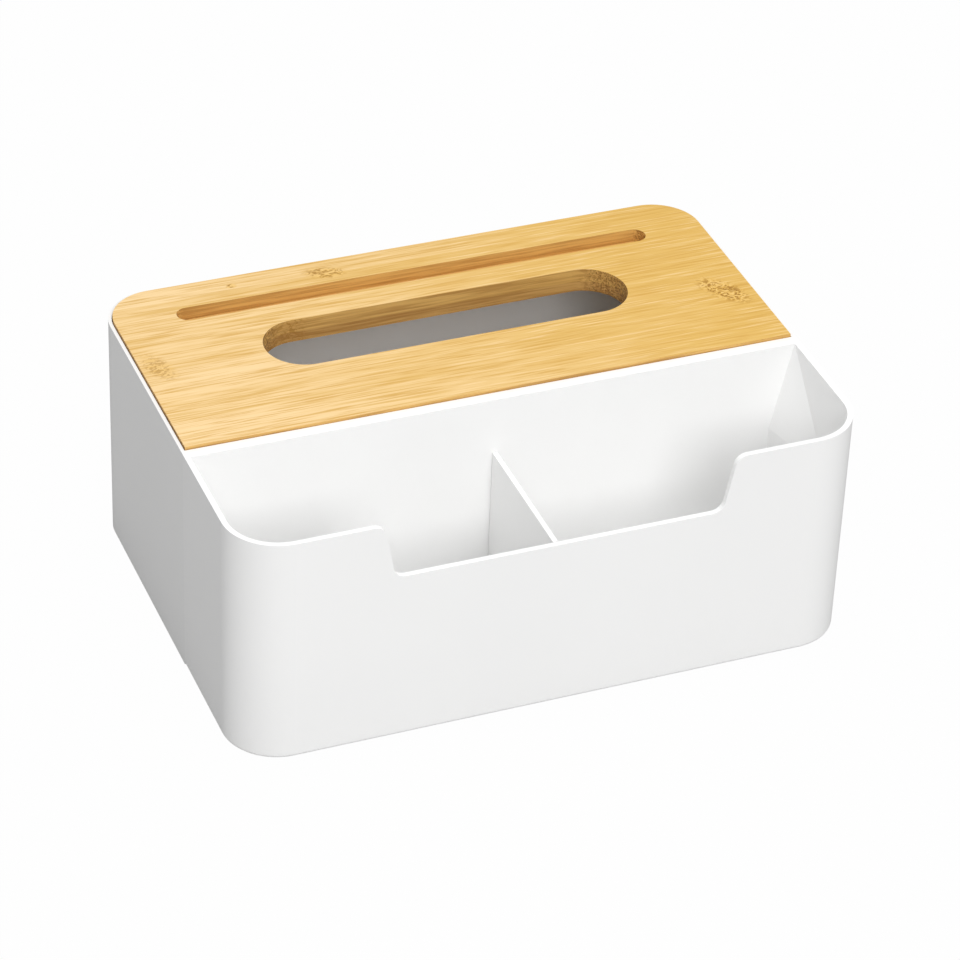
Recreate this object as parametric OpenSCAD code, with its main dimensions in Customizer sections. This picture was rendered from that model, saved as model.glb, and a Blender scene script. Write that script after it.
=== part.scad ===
// Tissue box with a bamboo lid and a compartment drawer across its front.
// Millimetres. Origin: middle of the underside of the feet. +Z up, -Y is the front.

/* [Shell] */
// Width of the box
box_w = 250; // [200:1:320]
// Depth of the box, front of the drawer to back of the housing
box_d = 178.5; // [165:0.5:230]
// Height of the rim above the underside of the shell
rim_h = 97.5; // [80:0.5:130]
// Thickness of the outer walls
wall = 2.2; // [1.6:0.1:3.2]
// Radius of the two upright corners at the front
front_corner_r = 21.4; // [8:0.2:30]
// Radius of the two upright corners at the back
rear_corner_r = 20.4; // [8:0.2:30]

/* [Tissue housing] */
// Space under the housing floor, where the drawer's tongue slides
underfloor_h = 8; // [7.2:0.2:12]
// Thickness of the housing floor
floor_t = 2; // [1.6:0.1:3]
// Width of the ledge that carries the lid
ledge_w = 3; // [2:0.5:5]
// Thickness of the ledge that carries the lid
ledge_t = 2; // [1.5:0.1:3]
// Thickness of the rim's lip beside and behind the lid
lip_t = 1.4; // [1:0.1:1.6]

/* [Drawer] */
// Depth of the drawer, front to parting plane
drawer_d = 66.6; // [56:0.2:76]
// Thickness of the drawer's back wall
drawer_back = 2.6; // [2:0.1:4]
// Thickness of the drawer's floor
drawer_floor = 2.2; // [1.6:0.1:3.2]
// Rounding of the drawer's bottom edge
base_round = 1.5; // [1:0.5:5]
// Width of the front notch at the rim
notch_w = 139.5; // [100:0.5:170]
// How much narrower the notch is at its bottom
notch_taper = 9; // [4:0.5:16]
// Depth of the front notch below the rim
notch_depth = 24; // [16:0.5:32]
// Rounding of the notch's corners
notch_round = 5; // [2:0.5:6]
// Leg of the corner webs along the drawer's back wall
web_leg = 8; // [4:0.5:12]
// Leg of the corner webs along the drawer's side walls
web_len = 34; // [8:1:40]
// Height over which the webs run out below the rim
web_fade = 38; // [20:1:50]

/* [Drawer slide] */
// How far the drawer draws out
drawer_travel = 60; // [30:1:65]
// Length of the tongue behind the drawer
tongue_len = 95; // [88:1:98]
// Width of the tongue
tongue_w = 120; // [80:1:150]
// Thickness of the tongue
tongue_t = 2.4; // [1.8:0.1:2.6]
// Clearance of the tongue in its rails
slide_gap = 0.3; // [0.2:0.05:0.5]
// Thickness of the rails and of the stops
rail_t = 2; // [1.5:0.1:3]
// Width of the lip that carries the tongue's edge
rail_lip = 4; // [3:0.5:6]

/* [Divider] */
// Place of the divider, from the middle of the drawer
divider_x = -1.5; // [-50:0.5:50]
// Thickness of the divider
divider_t = 2; // [1.5:0.1:3]
// Clearance around the divider
divider_gap = 0.3; // [0.2:0.05:0.5]
// Height of the ribs that hold the divider's foot
rib_h = 8; // [4:0.5:14]
// Thickness of the ribs that hold the divider's foot
rib_t = 1.2; // [1:0.1:2]

/* [Lid] */
// Thickness of the lid's upper ply
upper_ply_t = 5.6; // [4:0.1:8]
// Thickness of the lid's lower ply
lower_ply_t = 4.4; // [3:0.1:6]
// How far the lid stands above the rim
lid_proud = 1.2; // [0:0.1:3]
// Gap round the lid
lid_gap = 0.3; // [0.3:0.05:1.2]
// Length of the tissue slot
slot_l = 150; // [110:1:170]
// Width of the tissue slot
slot_w = 32; // [20:1:45]
// Place of the tissue slot, from the middle of the lid to the right
slot_x = 1; // [-4:0.5:4]
// Length of the phone groove
groove_l = 197.6; // [120:0.2:198]
// Width of the phone groove
groove_w = 9; // [6:0.2:12]
// Middle of the phone groove in front of the lid's back edge
groove_inset = 21; // [16:0.1:22]

/* [Feet] */
// Diameter of a foot
foot_d = 12; // [8:1:16]
// Thickness of a foot
foot_t = 1.6; // [1.2:0.1:3]
// How far a foot stands proud of the shell
foot_proud = 0.8; // [0.5:0.1:1]
// Clearance round a foot in its seat
foot_gap = 0.1; // [0.05:0.05:0.3]
// Wall of the boss that holds a foot
foot_boss_wall = 2; // [1.5:0.5:4]
// Gap between a foot's boss and the walls beside it
foot_inset = 8; // [6:0.5:12]

/* [Hidden] */
$fn = 96;

WHITE = "whitesmoke";
CUT = 1; // how far a cut runs past the face it opens
ARC_STEPS = 6; // points along a rounded notch corner
ROUND_LAYERS = 5; // levels of the rounded bottom edge
LAYER_T = 0.01; // thickness of one such level

front_y = -box_d / 2;
back_y = box_d / 2;
parting_y = front_y + drawer_d; // plane where the drawer meets the housing
shell_z = foot_proud;
rim_z = shell_z + rim_h;
housing_floor_z = shell_z + underfloor_h + floor_t;
drawer_floor_z = shell_z + drawer_floor;
notch_z = rim_z - notch_depth;

lid_z = rim_z + lid_proud - upper_ply_t - lower_ply_t;
ply_z = lid_z + lower_ply_t;
lid_w = box_w - 2 * (lip_t + lid_gap);
lid_front_y = parting_y + wall + lid_gap;
lid_back_y = back_y - lip_t - lid_gap;
slot_y = (lid_front_y + lid_back_y) / 2;
groove_y = lid_back_y - groove_inset;

rail_z = shell_z + slide_gap; // underside of the rails
tongue_z = rail_z + rail_t + slide_gap;
lug_top_z = shell_z + underfloor_h - slide_gap;
stop_y = parting_y + tongue_len - rail_t - drawer_travel - slide_gap; // back of the stop

foot_boss_r = foot_d / 2 + foot_boss_wall;
foot_x = box_w / 2 - wall - foot_inset - foot_boss_r;
foot_front_y = parting_y + wall + foot_inset + foot_boss_r;
foot_rear_y = back_y - wall - foot_inset - foot_boss_r;

// A block from y0 to y1, centred in x, with upright edges rounded at the front and the back.
module block(w, y0, y1, z0, z1, r_front, r_back) {
    translate([0, 0, z0]) linear_extrude(height = z1 - z0) block_outline(w, y0, y1, r_front, r_back);
}

module block_outline(w, y0, y1, r_front, r_back) {
    difference() {
        translate([-w / 2, y0]) square([w, y1 - y0]);
        for (side = [-1, 1]) {
            corner_waste(side * w / 2, y0, side, -1, r_front);
            corner_waste(side * w / 2, y1, side, 1, r_back);
        }
    }
}

// What a rounding of radius r takes off the corner at (x, y).
module corner_waste(x, y, side_x, side_y, r) {
    if (r > 0) difference() {
        translate([x - side_x * r / 2 + side_x * CUT / 2, y - side_y * r / 2 + side_y * CUT / 2])
            square([r + CUT, r + CUT], center = true);
        translate([x - side_x * r, y - side_y * r]) circle(r = r);
    }
}

// A slot with round ends, drawn along x.
module stadium(l, w) {
    square([l - w, w], center = true);
    for (side = [-1, 1]) translate([side * (l - w) / 2, 0]) circle(d = w);
}

// The points of a path with each corner rounded by its own radius.
function unit(v) = v / norm(v);
function corner_arc(before, corner, after, r) =
    let (
        in_dir = unit(corner - before),
        out_dir = unit(after - corner),
        turn = acos(in_dir * out_dir),
        side = sign(in_dir[0] * out_dir[1] - in_dir[1] * out_dir[0]),
        start = corner - in_dir * r * tan(turn / 2),
        centre = start + side * r * [-in_dir[1], in_dir[0]],
        first = atan2(start[1] - centre[1], start[0] - centre[0])
    )
    [for (i = [0:ARC_STEPS])
        let (a = first + side * turn * i / ARC_STEPS)
        centre + r * [cos(a), sin(a)]];

// ---------- tissue housing ----------
module housing_shell() {
    difference() {
        block(box_w, parting_y, back_y, shell_z, rim_z, 0, rear_corner_r);
        // tissue compartment
        block(box_w - 2 * wall, parting_y + wall, back_y - wall, housing_floor_z, rim_z + CUT,
            0, rear_corner_r - wall);
        // space under the floor, open to the front below the front wall
        block(box_w - 2 * wall, parting_y - CUT, back_y - wall, shell_z - CUT,
            shell_z + underfloor_h, 0, rear_corner_r - wall);
        // recess for the lid, which thins the rim beside and behind it to a lip
        block(box_w - 2 * lip_t, parting_y + wall, back_y - lip_t, lid_z, rim_z + CUT,
            0, rear_corner_r - lip_t);
    }
}

module lid_ledge() {
    difference() {
        block(box_w - wall, parting_y + wall / 2, back_y - wall / 2, lid_z - ledge_t, lid_z,
            0, rear_corner_r - wall / 2);
        block(box_w - 2 * (wall + ledge_w), parting_y + wall + ledge_w, back_y - wall - ledge_w,
            lid_z - ledge_t - CUT, lid_z + CUT, 0, rear_corner_r - wall - ledge_w);
    }
}

// One rail: an upright under the floor with a lip below the tongue's edge.
module slide_rail() {
    web_x = tongue_w / 2 + slide_gap;
    rail_d = tongue_len + slide_gap;
    translate([web_x, parting_y + wall, rail_z])
        cube([rail_t, rail_d - wall, shell_z + underfloor_h + floor_t / 2 - rail_z]);
    translate([web_x - rail_lip, parting_y + wall, rail_z])
        cube([rail_lip + rail_t / 2, rail_d - wall, rail_t]);
}

module slide_stop() {
    translate([-tongue_w / 4, stop_y - rail_t, tongue_z + tongue_t + slide_gap])
        cube([tongue_w / 2, rail_t, shell_z + underfloor_h + floor_t / 2 - tongue_z - tongue_t - slide_gap]);
}

module foot_boss(x, y) {
    difference() {
        translate([x, y, shell_z])
            cylinder(r = foot_boss_r, h = underfloor_h + floor_t / 2);
        translate([x, y, shell_z - CUT])
            cylinder(d = foot_d + 2 * foot_gap, h = foot_t - shell_z + CUT);
    }
}

module tissue_housing() {
    color(WHITE) {
        housing_shell();
        lid_ledge();
        slide_rail();
        mirror([1, 0, 0]) slide_rail();
        slide_stop();
        for (x = [-foot_x, foot_x], y = [foot_front_y, foot_rear_y]) foot_boss(x, y);
    }
}

// ---------- front drawer ----------
// The lowest part of the drawer, whose bottom edge is rounded all round.
module rounded_base() {
    hull() for (i = [0:ROUND_LAYERS]) {
        a = 90 * i / ROUND_LAYERS;
        inset = base_round * (1 - sin(a));
        block(box_w - 2 * inset, front_y + inset, parting_y,
            shell_z + base_round * (1 - cos(a)), shell_z + base_round * (1 - cos(a)) + LAYER_T,
            front_corner_r - inset, 0, $fn = 64);
    }
}

module drawer_shell() {
    difference() {
        union() {
            rounded_base();
            block(box_w, front_y, parting_y, shell_z + base_round, rim_z, front_corner_r, 0);
        }
        block(box_w - 2 * wall, front_y + wall, parting_y - drawer_back, drawer_floor_z, rim_z + CUT,
            front_corner_r - wall, 0);
        notch_cut();
    }
}

// The notch in the front wall: sides lean inward, all four corners are rounded.
module notch_cut() {
    top = notch_w / 2;
    low = top - notch_taper / 2;
    far = top + 3 * notch_round; // past the rounding, above the rim
    half = concat(
        [[far, rim_z + CUT], [far, rim_z]],
        corner_arc([far, rim_z], [top, rim_z], [low, notch_z], notch_round),
        corner_arc([top, rim_z], [low, notch_z], [0, notch_z], notch_round));
    translate([0, front_y + wall + CUT, 0]) rotate([90, 0, 0])
        linear_extrude(height = wall + 2 * CUT)
            polygon(concat(half, [for (i = [len(half) - 1:-1:0]) [-half[i][0], half[i][1]]]));
}

// A flat web across a rear corner, which runs out to nothing at the rim.
module corner_web() {
    x = box_w / 2 - wall;
    y = parting_y - drawer_back;
    hull() {
        translate([x, y, drawer_floor_z]) linear_extrude(height = rim_z - web_fade - drawer_floor_z)
            polygon([[0, 0], [-web_leg, 0], [0, -web_len]]);
        translate([x, y, rim_z - LAYER_T]) linear_extrude(height = LAYER_T)
            polygon([[0, 0], [-LAYER_T, 0], [0, -LAYER_T]]);
    }
}

module divider_ribs() {
    for (side = [-1, 1])
        translate([divider_x + side * (divider_t / 2 + divider_gap + rib_t / 2),
                   (front_y + wall + parting_y - drawer_back) / 2,
                   drawer_floor_z + (rib_h - floor_t / 2) / 2])
            cube([rib_t, drawer_d - wall - drawer_back, rib_h + floor_t / 2], center = true);
}

module drawer_tongue() {
    translate([-tongue_w / 2, parting_y - drawer_back / 2, tongue_z])
        cube([tongue_w, tongue_len + drawer_back / 2, tongue_t]);
    translate([-tongue_w / 4, parting_y + tongue_len - rail_t, tongue_z])
        cube([tongue_w / 2, rail_t, lug_top_z - tongue_z]);
}

module front_drawer() {
    color(WHITE) {
        drawer_shell();
        corner_web();
        mirror([1, 0, 0]) corner_web();
        divider_ribs();
        drawer_tongue();
    }
}

module drawer_divider() {
    length = drawer_d - wall - drawer_back - 2 * divider_gap;
    color(WHITE) translate([divider_x - divider_t / 2, front_y + wall + divider_gap, drawer_floor_z])
        cube([divider_t, length, notch_z - drawer_floor_z]);
}

// ---------- lid ----------
module lid_outline() {
    difference() {
        block_outline(lid_w, lid_front_y, lid_back_y, 0, rear_corner_r - lip_t - lid_gap);
        translate([slot_x, slot_y]) stadium(slot_l, slot_w);
    }
}

module lid_upper_ply() {
    color("burlywood") translate([0, 0, ply_z]) linear_extrude(height = upper_ply_t)
        difference() {
            lid_outline();
            translate([0, groove_y]) stadium(groove_l, groove_w);
        }
}

module lid_lower_ply() {
    color("tan") translate([0, 0, lid_z]) linear_extrude(height = lower_ply_t) lid_outline();
}

// ---------- feet ----------
module foot(x, y) {
    color("gainsboro") translate([x, y, 0]) cylinder(d = foot_d, h = foot_t);
}

tissue_housing();
front_drawer();
drawer_divider();
lid_upper_ply();
lid_lower_ply();
foot(-foot_x, foot_front_y);  // foot_front_left
foot(foot_x, foot_front_y);  // foot_front_right
foot(-foot_x, foot_rear_y);  // foot_rear_left
foot(foot_x, foot_rear_y);  // foot_rear_right
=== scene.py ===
"""Studio scene of a white tissue box with a bamboo lid and a compartment drawer.

The frame gives every solid its place. This script adds the finishes, the softened
edges, the camera, the lamps and the floor. Lengths are in metres, and the scale of
a noise is in features per metre.
"""
from math import cos, radians, sin
from types import SimpleNamespace

import bpy
from mathutils import Matrix, Vector


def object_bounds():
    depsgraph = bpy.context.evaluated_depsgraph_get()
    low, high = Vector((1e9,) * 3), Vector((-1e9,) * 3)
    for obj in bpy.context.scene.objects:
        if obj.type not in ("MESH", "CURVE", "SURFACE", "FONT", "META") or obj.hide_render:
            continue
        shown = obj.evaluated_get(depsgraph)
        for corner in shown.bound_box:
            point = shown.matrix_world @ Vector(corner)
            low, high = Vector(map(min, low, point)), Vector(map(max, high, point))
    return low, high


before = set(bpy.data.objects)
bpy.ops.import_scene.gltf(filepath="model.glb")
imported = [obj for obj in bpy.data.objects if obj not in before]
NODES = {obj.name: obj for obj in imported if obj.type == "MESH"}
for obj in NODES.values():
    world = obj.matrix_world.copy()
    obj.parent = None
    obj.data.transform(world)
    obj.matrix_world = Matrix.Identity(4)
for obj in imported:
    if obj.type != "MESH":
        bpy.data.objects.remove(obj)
cad_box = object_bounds()
# cad_box is its lowest and its highest corner
HALF_WIDTH = cad_box[1][0]
MM = 0.001

# ---------- camera ----------
CAMERA_TARGET = Vector((-10.5, -33.5, 68.7)) * MM
CAMERA_AZIMUTH = radians(-22.70)
CAMERA_ELEVATION = radians(34.93)
CAMERA_ROLL = radians(2.44)
CAMERA_DISTANCE = 1480.1 * MM
CAMERA_REACH = 20.0
# lens and sensor are in millimetres
CAMERA_LENS = 146.1
SENSOR_WIDTH = 36.0


def add_camera():
    """The photograph's view: a long lens from the front left and above, rolled a little."""
    back = Vector((
        sin(CAMERA_AZIMUTH) * cos(CAMERA_ELEVATION),
        -cos(CAMERA_AZIMUTH) * cos(CAMERA_ELEVATION),
        sin(CAMERA_ELEVATION),
    ))
    level_right = Vector((0, 0, 1)).cross(back).normalized()
    level_up = back.cross(level_right)
    right = cos(CAMERA_ROLL) * level_right + sin(CAMERA_ROLL) * level_up
    up = back.cross(right)
    data = bpy.data.cameras.new("camera")
    data.lens = CAMERA_LENS
    data.sensor_width = SENSOR_WIDTH
    data.clip_end = CAMERA_REACH
    camera = bpy.data.objects.new("camera", data)
    turn = Matrix((right, up, back)).transposed().to_4x4()
    camera.matrix_world = Matrix.Translation(CAMERA_TARGET + CAMERA_DISTANCE * back) @ turn
    bpy.context.scene.collection.objects.link(camera)
    bpy.context.scene.camera = camera


# ---------- node helpers ----------
# depth of the fine relief of every finish
RELIEF_DEPTH = 0.2 * MM
# nearly all of a noise lies in this range
NOISE_RANGE = (0.3, 0.7)


class Graph:
    """Short calls for the shader nodes of one material or of the world."""

    def __init__(self, owner, output):
        owner.use_nodes = True
        self.tree = owner.node_tree
        self.tree.nodes.clear()
        self.surface = self.node(output).inputs["Surface"]

    def link(self, value, socket):
        """Joins another node's socket to this one, or writes a plain value into it."""
        if isinstance(value, bpy.types.NodeSocket):
            self.tree.links.new(value, socket)
        else:
            socket.default_value = value

    def node(self, kind, **settings):
        """A new node of one kind with its settings."""
        made = self.tree.nodes.new(kind)
        for key, value in settings.items():
            setattr(made, key, value)
        return made

    def place(self):
        """Object coordinates, which are the frame's own while the piece is at rest."""
        return self.node("ShaderNodeTexCoord").outputs["Object"]

    def noise(self, vector, scale, detail=2.0, rough=0.5, distortion=0.0):
        """Smooth noise about one half."""
        made = self.node("ShaderNodeTexNoise")
        self.link(vector, made.inputs["Vector"])
        made.inputs["Scale"].default_value = scale
        made.inputs["Detail"].default_value = detail
        made.inputs["Roughness"].default_value = rough
        made.inputs["Distortion"].default_value = distortion
        return made.outputs["Fac"]

    def math(self, operation, a, b=0.0):
        """One operation on two values or sockets."""
        made = self.node("ShaderNodeMath", operation=operation)
        self.link(a, made.inputs[0])
        self.link(b, made.inputs[1])
        return made.outputs[0]

    def ramp(self, value, low, high, out_low=0.0, out_high=1.0):
        """value from low to high becomes out_low to out_high, smoothly, and stays there."""
        made = self.node("ShaderNodeMapRange", interpolation_type="SMOOTHSTEP")
        self.link(value, made.inputs["Value"])
        ends = {"From Min": low, "From Max": high, "To Min": out_low, "To Max": out_high}
        for socket, number in ends.items():
            made.inputs[socket].default_value = number
        return made.outputs["Result"]

    def mix(self, factor, a, b):
        """Colour a where factor is 0 and colour b where it is 1."""
        made = self.node("ShaderNodeMix", data_type="RGBA")
        self.link(factor, made.inputs["Factor"])
        self.link(a, made.inputs["A"])
        self.link(b, made.inputs["B"])
        return made.outputs["Result"]

    def split(self, vector):
        """The x, y and z of a vector."""
        made = self.node("ShaderNodeSeparateXYZ")
        self.link(vector, made.inputs[0])
        return made.outputs

    def join(self, x, y, z):
        """A vector of three values."""
        made = self.node("ShaderNodeCombineXYZ")
        for value, socket in zip((x, y, z), made.inputs):
            self.link(value, socket)
        return made.outputs[0]

    def relief(self, height, strength):
        """A normal for fine relief that isn't modelled."""
        made = self.node("ShaderNodeBump")
        made.inputs["Strength"].default_value = strength
        made.inputs["Distance"].default_value = RELIEF_DEPTH
        self.link(height, made.inputs["Height"])
        return made.outputs["Normal"]

    def show_backdrop(self, backdrop, share, lit):
        """Ends in the shader lit, which the camera alone sees covered with backdrop, by share."""
        path = self.node("ShaderNodeLightPath")
        seen = self.math("MAXIMUM", path.outputs["Is Camera Ray"], path.outputs["Is Transmission Ray"])
        blend = self.node("ShaderNodeMixShader")
        self.link(self.math("MULTIPLY", seen, share), blend.inputs["Fac"])
        self.link(lit, blend.inputs[1])
        self.link(backdrop, blend.inputs[2])
        self.link(blend.outputs["Shader"], self.surface)


def new_material(name):
    """A material of one Principled shader, with its graph and that shader."""
    material = bpy.data.materials.new(name)
    graph = Graph(material, "ShaderNodeOutputMaterial")
    shader = graph.node("ShaderNodeBsdfPrincipled")
    graph.link(shader.outputs["BSDF"], graph.surface)
    return material, graph, shader


def srgb(red, green, blue):
    """A colour read as 0 to 255 on a screen, as the linear colour that a shader takes."""
    def linear(v):
        v /= 255
        return v / 12.92 if v <= 0.04045 else ((v + 0.055) / 1.055) ** 2.4
    return (linear(red), linear(green), linear(blue), 1.0)


def shaded(colour, factor):
    """A colour made darker or lighter by one factor for each channel."""
    return tuple(min(1.0, c * f) for c, f in zip(colour[:3], factor)) + (1.0,)


# ---------- plastics ----------
PLASTIC_IOR = 1.49
# faint clouds of tone: their scale, and the darkest as a share of the colour
TONE_SCALE = 14.0
TONE_DARK = 0.985
# fine spark-eroded grain in the sheen, and how far it moves the roughness either way
SHEEN_SCALE = 900.0
SHEEN_RANGE = (0.25, 0.75)
SHEEN_SPREAD = 0.05
# the long waviness of a moulded wall, and the grain's relief with its height beside the waves'
WAVE_SCALE = 22.0
WAVE_DETAIL = 1.0
GRAIN_SCALE = 2600.0
GRAIN_HEIGHT = 0.02
PLASTIC_RELIEF = 0.35


def satin_plastic(name, colour, roughness):
    """Moulded plastic: fine spark-eroded grain in its sheen and a faint long waviness."""
    material, g, shader = new_material(name)
    tone = g.noise(g.place(), TONE_SCALE)
    dark = shaded(colour, (TONE_DARK,) * 3)
    g.link(g.mix(g.ramp(tone, *NOISE_RANGE), dark, colour), shader.inputs["Base Color"])
    sheen = g.noise(g.place(), SHEEN_SCALE)
    uneven = g.ramp(sheen, *SHEEN_RANGE, roughness - SHEEN_SPREAD, roughness + SHEEN_SPREAD)
    g.link(uneven, shader.inputs["Roughness"])
    shader.inputs["IOR"].default_value = PLASTIC_IOR
    grain = g.noise(g.place(), GRAIN_SCALE)
    wave = g.noise(g.place(), WAVE_SCALE, WAVE_DETAIL)
    height = g.math("ADD", g.math("MULTIPLY", grain, GRAIN_HEIGHT), wave)
    g.link(g.relief(height, PLASTIC_RELIEF), shader.inputs["Normal"])
    return material


# ---------- bamboo ----------
BAMBOO_IOR = 1.45
BAMBOO_ROUGHNESS = (0.44, 0.58)
BAMBOO_RELIEF = 0.30
STRIP_WIDTH = 0.0205
STRIP_SHIFT = 0.0045
# how far the fibres of one strip may stand along from those of the next
STRIP_DRIFT = 7.0
# scale along the fibres and across them, roughness and bend of each kind of streak
FIBRES = (42.0, 1350.0, 0.6, 0.05)
DASHES = (20.0, 640.0, 0.5, 0.12)
BANDS = (5.0, 110.0, 0.5, 0.3)
CLOUD = (14.0, 30.0, 0.5, 0.0)
SQUIGGLES = (250.0, 360.0, 0.55, 2.2)
# how far the clouds move the change from pale to golden
CLOUD_REACH = 0.12
# the normal's z on a flat face and on an upright wall, its x on a side wall and on an end wall
FACE_TO_WALL = (0.8, 0.3)
SIDE_TO_END = (0.25, 0.6)
WALL_STRENGTH = 0.94
WALL_STREAKS = (0.38, 0.62)
PORE_SCALE = 1300.0
PORE_ROUGH = 0.6
PORE_RANGE = (0.50, 0.58)
PORE_STRENGTH = 0.75
# a patch's rim and core, as shares of its half length and half width
PATCH_RIM = 1.2
PATCH_CORE = 0.5
# where the squiggles turn to dark rings and to pale glints, and how deep the rings lie
RING_RANGE = (0.51, 0.57)
GLINT_RANGE = (0.48, 0.42)
RING_DEPTH = 0.8
KNOTS = (
    # x, y, half length along the grain, half width across it, slant, strength
    (0.1115, 0.0175, 0.0068, 0.0112, -0.75, 1.0),
    (-0.1165, 0.034, 0.0055, 0.0100, -0.5, 0.5),
    (-0.034, 0.0785, 0.0080, 0.0045, -0.4, 0.8),
    (-0.072, 0.0805, 0.0022, 0.0016, 0.0, 1.0),
)
# the same for the one patch that shows on the wall of the slot alone
SLOT_KNOT = (-0.0575, 0.0440, 0.0095, 0.0070, 0.0, 1.0)


def streaks_along_x(g, axes, along, across, rough, bend, drift=0.0):
    """Noise drawn out along the fibres, which run along x, and moved along them by drift."""
    x, y, z = axes
    vector = g.join(
        g.math("ADD", g.math("MULTIPLY", x, along), drift),
        g.math("MULTIPLY", y, across),
        g.math("MULTIPLY", z, across),
    )
    return g.noise(vector, 1.0, rough=rough, distortion=bend)


def patch(g, axes, knot_x, knot_y, length, width, slant, strength):
    """A soft slanting oval on the lid, seen from above, that has its strength in its core."""
    v = g.math("DIVIDE", g.math("SUBTRACT", axes[1], knot_y), width)
    lean = g.math("MULTIPLY", v, slant * length)
    u = g.math("DIVIDE", g.math("SUBTRACT", g.math("SUBTRACT", axes[0], knot_x), lean), length)
    reach = g.math("SQRT", g.math("ADD", g.math("MULTIPLY", u, u), g.math("MULTIPLY", v, v)))
    return g.ramp(reach, PATCH_RIM, PATCH_CORE, 0.0, strength)


def wood_pattern(g):
    """What all layers of the bamboo are drawn from: places, directions, strips and streaks."""
    axes = g.split(g.place())
    normal = g.split(g.node("ShaderNodeNewGeometry").outputs["True Normal"])
    upright = g.ramp(g.math("ABSOLUTE", normal[2]), *FACE_TO_WALL)
    end_wall = g.math("MULTIPLY", g.ramp(g.math("ABSOLUTE", normal[0]), *SIDE_TO_END), upright)

    # each strip has its own shade and its own stretch of fibre
    strip = g.math("FLOOR", g.math("DIVIDE", g.math("ADD", axes[1], STRIP_SHIFT), STRIP_WIDTH))
    shade = g.node("ShaderNodeTexWhiteNoise", noise_dimensions="1D")
    g.link(strip, shade.inputs["W"])
    strip_shade = shade.outputs["Value"]
    drift = g.math("MULTIPLY", strip_shade, STRIP_DRIFT)
    fibres, dashes, bands, cloud = (
        streaks_along_x(g, axes, *kind, drift) for kind in (FIBRES, DASHES, BANDS, CLOUD)
    )
    return SimpleNamespace(
        axes=axes,
        upright=upright,
        end_wall=end_wall,
        strip_shade=strip_shade,
        fibres=fibres,
        dashes=dashes,
        bands=bands,
        cloud=cloud,
        streaks=g.math("MULTIPLY", g.math("ADD", fibres, dashes), 0.5),
    )


def sanded_face(g, wood, pale, golden):
    """The pale left turns golden towards the right, under layers of streaks. The turn is partly the
    wood's own tone and partly painted light: the paler left stands in for the sheen of the light from
    that side.
    """
    # partly painted light: paler at the left for the sheen of the light from the left, golden towards
    # the right; partly the wood's own drift of tone
    cloud_shift = g.math("MULTIPLY", g.math("SUBTRACT", wood.cloud, 0.5), CLOUD_REACH)
    tone_and_sheen_across_lid = g.ramp(g.math("ADD", wood.axes[0], cloud_shift), -HALF_WIDTH, HALF_WIDTH)
    colour = g.mix(tone_and_sheen_across_lid, pale, golden)
    layers = (
        # what drives it, where it starts, where it is full, its strength, its colour
        (wood.bands, 0.40, 0.66, 0.40, shaded(golden, (0.95, 0.90, 0.78))),
        (wood.strip_shade, 0.0, 1.0, 0.22, shaded(golden, (0.98, 0.95, 0.85))),
        (wood.dashes, 0.50, 0.68, 0.50, shaded(golden, (0.89, 0.83, 0.65))),
        (wood.fibres, 0.50, 0.68, 0.75, shaded(golden, (0.84, 0.74, 0.52))),
        (wood.fibres, 0.46, 0.28, 0.55, shaded(pale, (1.05, 1.07, 1.12))),
    )
    for driver, start, full, strength, tint in layers:
        colour = g.mix(g.ramp(driver, start, full, 0.0, strength), colour, tint)
    return colour


def cut_walls(g, wood, face, wall_light, wall_dark):
    """Upright walls are browner than the face, and those across the fibres show their pores."""
    wall_tint = g.mix(g.ramp(wood.streaks, *WALL_STREAKS), wall_light, wall_dark)
    colour = g.mix(g.math("MULTIPLY", wood.upright, WALL_STRENGTH), face, wall_tint)
    pores = g.noise(g.place(), PORE_SCALE, rough=PORE_ROUGH)
    pore_marks = g.math("MULTIPLY", g.ramp(pores, *PORE_RANGE, 0.0, PORE_STRENGTH), wood.end_wall)
    return g.mix(pore_marks, colour, shaded(wall_dark, (0.45, 0.38, 0.30)))


def knot_marks(g, wood):
    """The patches of the knots, and the dark rings and the pale glints that lie in them."""
    patches = g.math("MULTIPLY", patch(g, wood.axes, *SLOT_KNOT), wood.upright)
    for knot in KNOTS:
        patches = g.math("MAXIMUM", patches, patch(g, wood.axes, *knot))
    squiggles = streaks_along_x(g, wood.axes, *SQUIGGLES)
    rings = g.math("MULTIPLY", g.ramp(squiggles, *RING_RANGE), patches)
    glints = g.math("MULTIPLY", g.ramp(squiggles, *GLINT_RANGE), patches)
    return patches, rings, glints


def bamboo(name, pale, golden, wall_light, wall_dark):
    """Light bamboo: glued strips, fine fibres along x, and a few knots of squiggled fibre."""
    material, g, shader = new_material(name)
    wood = wood_pattern(g)
    colour = cut_walls(g, wood, sanded_face(g, wood, pale, golden), wall_light, wall_dark)
    patches, rings, glints = knot_marks(g, wood)
    ring_brown = shaded(golden, (0.48, 0.35, 0.12))
    layers = (
        # where it is, its strength, its colour on the face, its colour on a wall
        (patches, 0.55, shaded(golden, (0.98, 0.90, 0.62)), wall_dark),
        (rings, 0.9, ring_brown, ring_brown),
        (glints, 0.6, shaded(pale, (1.0, 0.95, 0.70)), wall_light),
    )
    for where, strength, on_face, on_wall in layers:
        tint = g.mix(wood.upright, on_face, on_wall)
        colour = g.mix(g.math("MULTIPLY", where, strength), colour, tint)

    g.link(colour, shader.inputs["Base Color"])
    g.link(g.ramp(wood.fibres, *NOISE_RANGE, *BAMBOO_ROUGHNESS), shader.inputs["Roughness"])
    shader.inputs["IOR"].default_value = BAMBOO_IOR
    height = g.math("SUBTRACT", wood.streaks, g.math("MULTIPLY", rings, RING_DEPTH))
    g.link(g.relief(height, BAMBOO_RELIEF), shader.inputs["Normal"])
    return material


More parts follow.
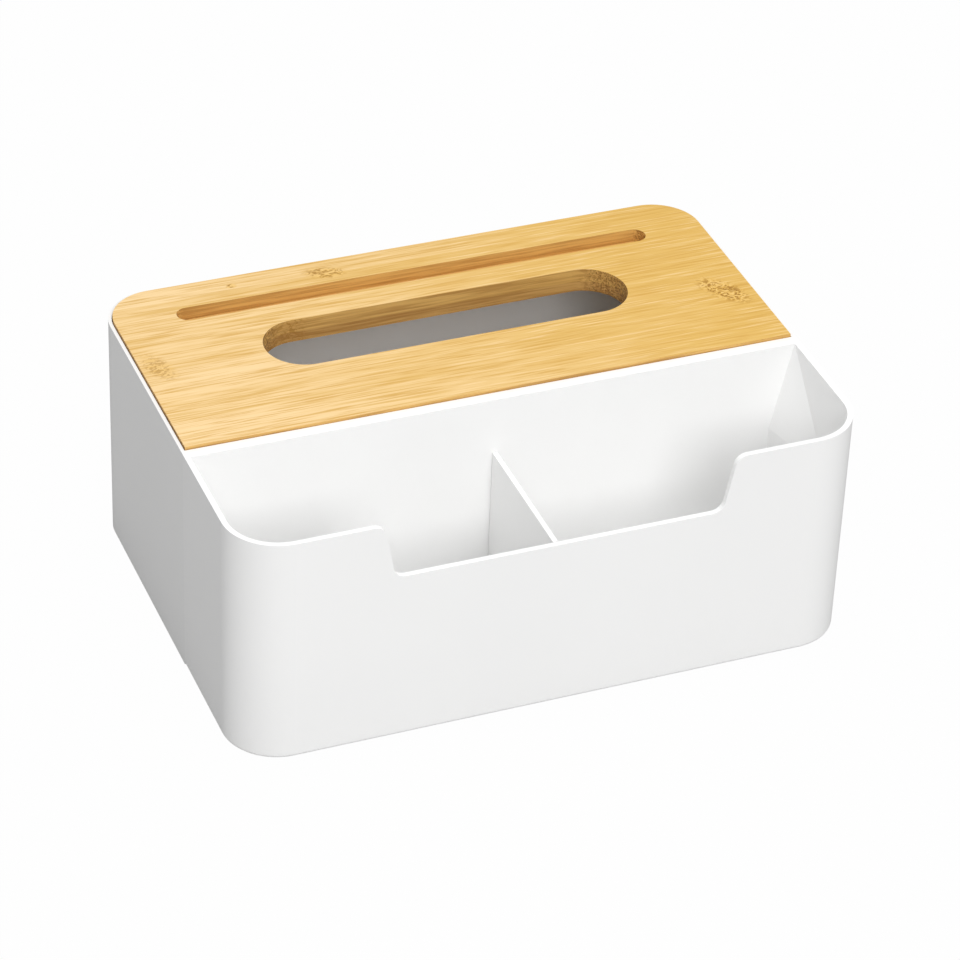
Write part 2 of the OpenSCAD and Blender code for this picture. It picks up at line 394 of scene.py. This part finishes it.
# ---------- rubber ----------
DUST_SCALE = 700.0
DUST_DETAIL = 3.0
DUST_RANGE = (0.35, 0.7)
RUBBER_ROUGHNESS = (0.6, 0.8)
RUBBER_RELIEF = 0.3


def soft_rubber(name):
    """Pale grey silicone with a dusty, uneven sheen."""
    material, g, shader = new_material(name)
    dust = g.noise(g.place(), DUST_SCALE, DUST_DETAIL)
    grey = g.mix(g.ramp(dust, *DUST_RANGE), srgb(196, 196, 192), srgb(214, 214, 210))
    g.link(grey, shader.inputs["Base Color"])
    g.link(g.ramp(dust, *NOISE_RANGE, *RUBBER_ROUGHNESS), shader.inputs["Roughness"])
    g.link(g.relief(dust, RUBBER_RELIEF), shader.inputs["Normal"])
    return material


# ---------- edges ----------
EDGE_SEGMENTS = 3
SHARP_ANGLE = radians(40)


def finish_node(name, material, round_mm):
    """Gives a CAD node its material and, unless round_mm is 0, soft edges."""
    piece = NODES[name]
    piece.data.materials.clear()
    piece.data.materials.append(material)
    if round_mm:
        bevel = piece.modifiers.new("soft_edges", "BEVEL")
        bevel.width = round_mm * MM
        bevel.segments = EDGE_SEGMENTS
        bevel.limit_method = "ANGLE"
        bevel.angle_limit = SHARP_ANGLE
        bevel.use_clamp_overlap = True
        bevel.harden_normals = True


def dress_nodes():
    """Makes the five finishes and gives every CAD node its own."""
    # painted shade: the housing's white is a little darker than the drawer's, standing in for the
    # lighter tone that the turn of the drawer's sides and light through its thin walls give the drawer
    housing = satin_plastic("satin_white_housing_painted_shade", colour=(0.94, 0.94, 0.935, 1), roughness=0.36)
    drawer = satin_plastic("satin_white_drawer", colour=(0.97, 0.97, 0.965, 1), roughness=0.34)
    # each bamboo's pale and golden are partly its own tone and partly painted light: the paler end
    # stands in for the sheen of the light from the left
    face = bamboo(
        "bamboo_face",
        pale=srgb(247, 214, 159),
        golden=srgb(226, 184, 97),
        wall_light=srgb(221, 175, 98),
        wall_dark=srgb(186, 138, 72),
    )
    core = bamboo(
        "bamboo_core",
        pale=srgb(236, 196, 128),
        golden=srgb(224, 176, 100),
        wall_light=srgb(206, 160, 92),
        wall_dark=srgb(170, 122, 62),
    )
    rubber = soft_rubber("grey_silicone")

    finish_node("tissue_housing", housing, round_mm=0.45)
    finish_node("front_drawer", drawer, round_mm=0.7)
    finish_node("drawer_divider", drawer, round_mm=0.4)
    finish_node("lid_upper_ply", face, round_mm=0.5)
    finish_node("lid_lower_ply", core, round_mm=0)
    for name in NODES:
        if name.startswith("foot_"):
            finish_node(name, rubber, round_mm=0.3)


# ---------- studio ----------
FLOOR_SIZE = 12
FLOOR_TONE = 0.40
FLOOR_ROUGHNESS = 0.9
# the share of plain white in what the camera sees of the floor; the rest keeps the shadow
FLOOR_GLOW = 0.985
# one grey for the world's light and for its backdrop, and the strength of that light
WORLD_GREY = (0.8, 0.8, 0.8, 1)
SKY_LIGHT = 0.69
LAMP_AIM = Vector((0.0, 0.0, 0.05))
LAMPS = (
    # name, place, side of its square, watts
    ("key", (-0.3, -2.1, 1.5), 1.0, 29),
    ("top", (0.3, -0.2, 2.2), 1.4, 18),
)


def add_floor():
    """A floor that looks white and keeps the soft shadow, but throws back less light than white."""
    bpy.ops.mesh.primitive_plane_add(size=FLOOR_SIZE)
    floor = bpy.context.object
    floor.name = "studio_floor"
    material, g, shader = new_material("studio_white")
    shader.inputs["Base Color"].default_value = (FLOOR_TONE, FLOOR_TONE, FLOOR_TONE, 1)
    shader.inputs["Roughness"].default_value = FLOOR_ROUGHNESS
    shader.inputs["Specular IOR Level"].default_value = 0.0
    glow = g.node("ShaderNodeEmission")
    g.show_backdrop(glow.outputs["Emission"], FLOOR_GLOW, shader.outputs["BSDF"])
    floor.data.materials.append(material)


def add_world():
    """Even pale light from all round, and a pale backdrop where the camera sees past the floor."""
    world = bpy.data.worlds.new("studio")
    bpy.context.scene.world = world
    g = Graph(world, "ShaderNodeOutputWorld")
    light = g.node("ShaderNodeBackground")
    light.inputs["Color"].default_value = WORLD_GREY
    light.inputs["Strength"].default_value = SKY_LIGHT
    backdrop = g.node("ShaderNodeBackground")
    backdrop.inputs["Color"].default_value = WORLD_GREY
    g.show_backdrop(backdrop.outputs["Background"], 1.0, light.outputs["Background"])


def add_lamp(name, place, size, watts):
    """A square soft lamp that faces the box."""
    data = bpy.data.lights.new(name, "AREA")
    data.size = size
    data.energy = watts
    lamp = bpy.data.objects.new(name, data)
    lamp.location = place
    lamp.rotation_euler = (LAMP_AIM - Vector(place)).to_track_quat("-Z", "Y").to_euler()
    bpy.context.scene.collection.objects.link(lamp)


def main():
    """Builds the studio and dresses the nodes."""
    add_camera()
    add_world()
    add_floor()
    for lamp in LAMPS:
        add_lamp(*lamp)
    dress_nodes()

    bpy.context.scene.view_settings.view_transform = "Standard"


main()
